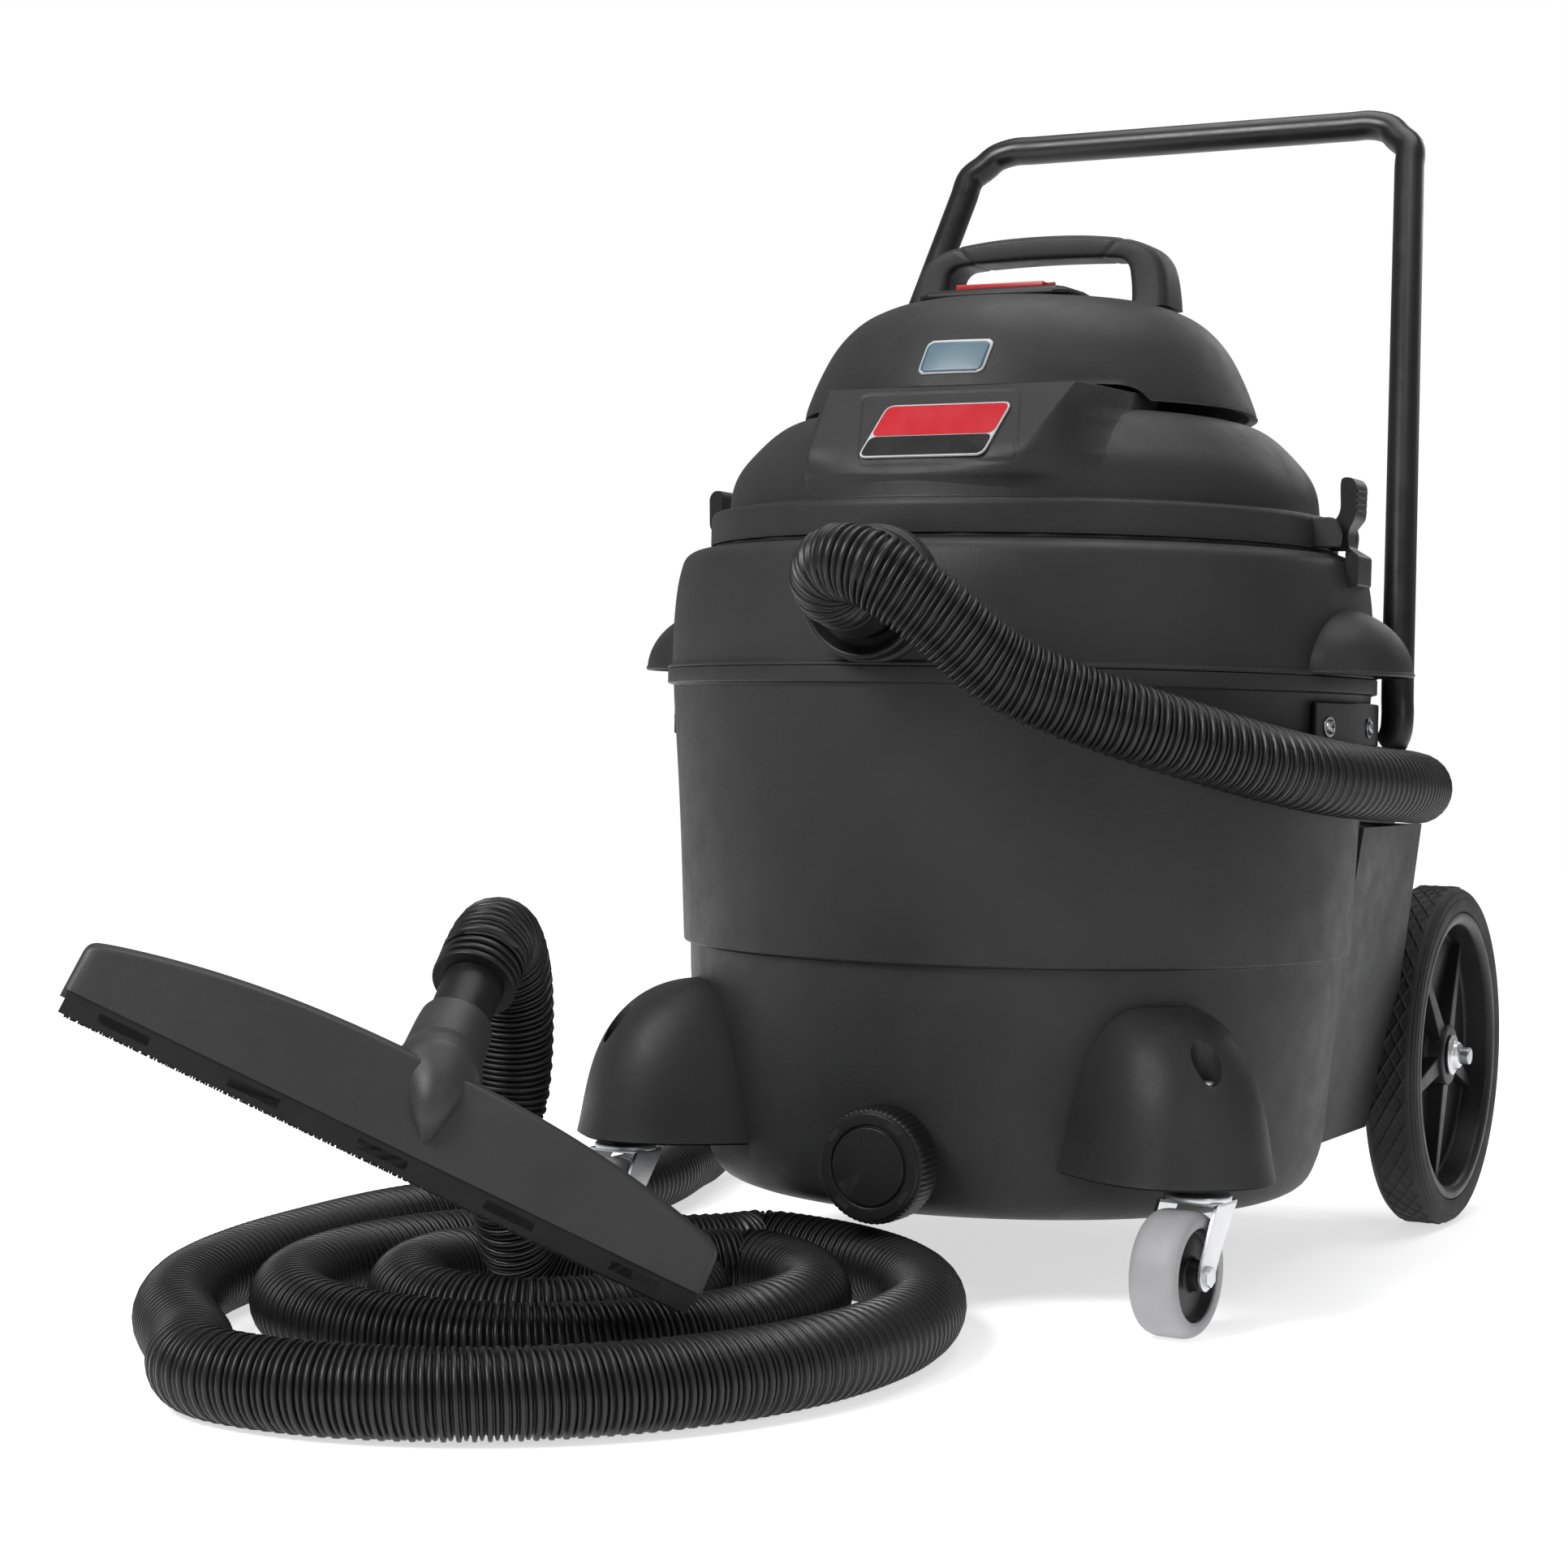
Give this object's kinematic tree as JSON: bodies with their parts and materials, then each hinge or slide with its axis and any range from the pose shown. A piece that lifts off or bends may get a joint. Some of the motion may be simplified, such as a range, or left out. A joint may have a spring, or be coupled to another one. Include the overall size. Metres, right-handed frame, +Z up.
{
  "type": "wet and dry drum vacuum cleaner",
  "caption": "Wheeled wet/dry drum vacuum with lift-off motor head, push handle, drain cap, swivel casters, coiled ribbed hose and wide floor nozzle.",
  "frame": {"origin": "on the floor, at the middle of the machine's footprint (hose and nozzle not counted); the tank's vertical axis stands 94.5 mm in front of it", "axes": "+X to the right seen from the front, +Y from the hose port to the push handle at the back, +Z up"},
  "size_m": [0.664, 1.1807, 0.8411],
  "materials": {
    "charcoal_plastic": "moulded, fine satin texture",
    "black_plastic": "moulded, half gloss",
    "hose_vinyl": "ribbed flexible vinyl, soft sheen",
    "rubber": "matt",
    "painted_steel": "black powder coat",
    "zinc_plate": "bright zinc plate",
    "steel": "ground",
    "copper": "enamelled windings",
    "aluminium": "die cast",
    "grey_tread": "light grey, non-marking",
    "red_plastic": "moulded, gloss",
    "label_film": "printed film, no lettering",
    "paper": "pleated filter paper",
    "bristle": "stiff black bristle"
  },
  "bodies": {
    "root": {"tank_drum": "charcoal_plastic", "tank_ring": "charcoal_plastic", "inlet_port": "black_plastic", "lift_grip_right": "charcoal_plastic", "lift_grip_left": "charcoal_plastic", "push_handle": "painted_steel", "handle_bracket_right": "painted_steel", "handle_bracket_left": "painted_steel", "bracket_screw_right": "zinc_plate", "bracket_screw_left": "zinc_plate", "axle_frame": "charcoal_plastic", "rear_axle": "steel", "axle_nut_right": "zinc_plate", "axle_nut_left": "zinc_plate", "caster_boot_right": "charcoal_plastic", "caster_boot_left": "charcoal_plastic", "hose_cuff_port": "black_plastic", "hose_run": "hose_vinyl", "hose_coil": "hose_vinyl", "hose_riser": "hose_vinyl", "hose_cuff_tool": "hose_vinyl", "nozzle_neck": "black_plastic", "nozzle_body": "black_plastic", "nozzle_brush_front": "bristle", "nozzle_brush_rear": "bristle"},
    "motor_head": {"lid": "charcoal_plastic", "lid_gasket": "rubber", "motor_pan": "black_plastic", "head_cowl": "charcoal_plastic", "carry_handle": "charcoal_plastic", "switch_bezel": "black_plastic", "motor_housing": "aluminium", "bearing_top": "steel", "bearing_bottom": "steel", "fan_case": "aluminium", "filter_cage": "black_plastic", "filter_cartridge": "paper", "filter_retainer": "black_plastic", "clamp_pin_right": "zinc_plate", "clamp_pin_left": "zinc_plate", "cord_gland": "rubber", "front_label": "label_film"},
    "clamp_right": {"clamp_lever_right": "black_plastic"},
    "clamp_left": {"clamp_lever_left": "black_plastic"},
    "rocker": {"power_rocker": "red_plastic"},
    "rotor": {"armature": "copper", "impeller": "aluminium"},
    "float": {"float_ball": "red_plastic"},
    "filter_knob": {"filter_nut": "black_plastic"},
    "drain": {"drain_cap": "black_plastic"},
    "caster_left": {"caster_fork_left": "zinc_plate"},
    "caster_wheel_left": {"caster_tyre_left": "grey_tread", "caster_hub_left": "black_plastic"},
    "rear_wheel_left": {"rear_tyre_left": "rubber", "rear_rim_left": "black_plastic"},
    "caster_right": {"caster_fork_right": "zinc_plate"},
    "caster_wheel_right": {"caster_tyre_right": "grey_tread", "caster_hub_right": "black_plastic"},
    "rear_wheel_right": {"rear_tyre_right": "rubber", "rear_rim_right": "black_plastic"}
  },
  "joints": [
    {"name": "head_lift", "type": "slide", "parent": "root", "child": "motor_head", "axis": [0, 0, 1], "range_m": [0, 0.3]},
    {"name": "clamp_right_swing", "type": "hinge", "parent": "motor_head", "child": "clamp_right", "pos_m": [0.226, -0.0945, 0.497], "axis": [0, -1, 0], "range_deg": [0, 45]},
    {"name": "clamp_left_swing", "type": "hinge", "parent": "motor_head", "child": "clamp_left", "pos_m": [-0.226, -0.0945, 0.497], "axis": [0, 1, 0], "range_deg": [0, 45]},
    {"name": "rocker_press", "type": "hinge", "parent": "motor_head", "child": "rocker", "pos_m": [0, -0.1325, 0.662], "axis": [-1, 0, 0], "range_deg": [0, 12]},
    {"name": "motor_spin", "type": "hinge", "parent": "motor_head", "child": "rotor", "pos_m": [0, -0.0945, 0.53], "axis": [0, 0, 1], "continuous": true},
    {"name": "float_rise", "type": "slide", "parent": "motor_head", "child": "float", "axis": [0, 0, 1], "range_m": [0, 0.094]},
    {"name": "filter_nut_turn", "type": "hinge", "parent": "motor_head", "child": "filter_knob", "pos_m": [0, -0.0945, 0.331], "axis": [0, 0, 1], "range_deg": [0, 540]},
    {"name": "drain_cap_turn", "type": "hinge", "parent": "root", "child": "drain", "pos_m": [0.01, -0.3295, 0.092], "axis": [0, -1, 0], "range_deg": [0, 450]},
    {"name": "caster_swivel_left", "type": "hinge", "parent": "root", "child": "caster_left", "pos_m": [-0.2013, -0.278, 0.08], "axis": [0, 0, 1], "continuous": true},
    {"name": "caster_spin_left", "type": "hinge", "parent": "caster_left", "child": "caster_wheel_left", "pos_m": [-0.20394, -0.30588, 0.0385], "axis": [0.9956, -0.0941, 0], "continuous": true},
    {"name": "rear_spin_left", "type": "hinge", "parent": "root", "child": "rear_wheel_left", "pos_m": [-0.21, 0.2235, 0.127], "axis": [1, 0, 0], "continuous": true},
    {"name": "caster_swivel_right", "type": "hinge", "parent": "root", "child": "caster_right", "pos_m": [0.2013, -0.278, 0.08], "axis": [0, 0, 1], "continuous": true},
    {"name": "caster_spin_right", "type": "hinge", "parent": "caster_right", "child": "caster_wheel_right", "pos_m": [0.19867, -0.30588, 0.0385], "axis": [0.9956, -0.0941, 0], "continuous": true},
    {"name": "rear_spin_right", "type": "hinge", "parent": "root", "child": "rear_wheel_right", "pos_m": [0.21, 0.2235, 0.127], "axis": [1, 0, 0], "continuous": true}
  ]
}
